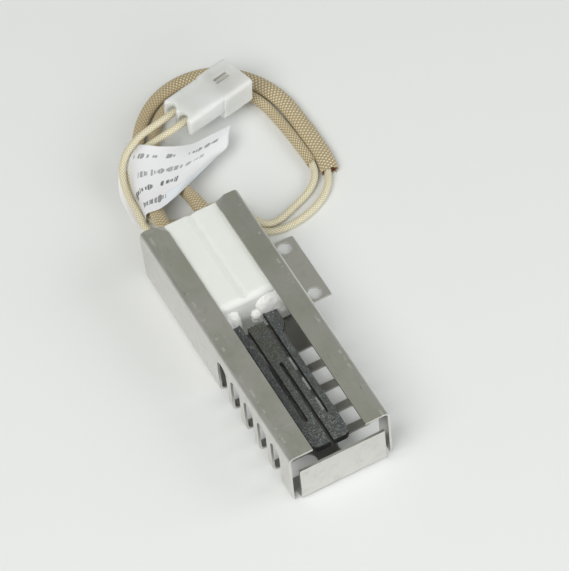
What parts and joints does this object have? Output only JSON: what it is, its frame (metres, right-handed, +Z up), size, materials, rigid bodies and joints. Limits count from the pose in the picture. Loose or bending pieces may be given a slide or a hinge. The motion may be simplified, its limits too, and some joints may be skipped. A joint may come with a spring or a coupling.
{
  "type": "hot surface igniter",
  "caption": "Flat silicon carbide gas igniter in a slotted metal guard channel, with a ceramic base, sleeved leads and a plug.",
  "frame": {"origin": "middle of the guard channel's underside, on the surface it rests on", "axes": "+Z up out of the channel's open top, +Y along the channel from the element towards the leads, +X to the side of the mounting tab"},
  "size_m": [0.0735, 0.1643, 0.0218],
  "materials": {
    "stainless_sheet": "satin rolled sheet with fine scratches",
    "glazed_body": "unglazed white steatite, smooth",
    "silicon_carbide": "rough, sparkling grains",
    "cement": "matt, lumpy",
    "terminal_strip": "plain nickel strip",
    "conductor": "stranded nickel wire",
    "lead_braid": "fine glass-fibre braid",
    "outer_sleeve": "coarse varnished glass-fibre braid",
    "nylon": "milky, slightly translucent natural nylon",
    "contact": "plain turned brass",
    "paper": "matt white paper"
  },
  "bodies": {
    "root": {"guard_channel": "stainless_sheet", "ceramic_block": "glazed_body", "igniter_element": "silicon_carbide", "front_cement_left": "cement", "front_cement_right": "cement", "rear_cement_left": "cement", "rear_cement_right": "cement", "leg_terminal_left": "terminal_strip", "leg_terminal_right": "terminal_strip", "block_conductor_left": "conductor", "block_conductor_right": "conductor", "lead_left": "lead_braid", "lead_right": "lead_braid", "sleeve_left": "outer_sleeve", "sleeve_right": "outer_sleeve", "plug_housing": "nylon", "plug_contact_left": "contact", "plug_contact_right": "contact", "plug_conductor_left": "conductor", "plug_conductor_right": "conductor", "paper_label": "paper"}
  },
  "joints": []
}
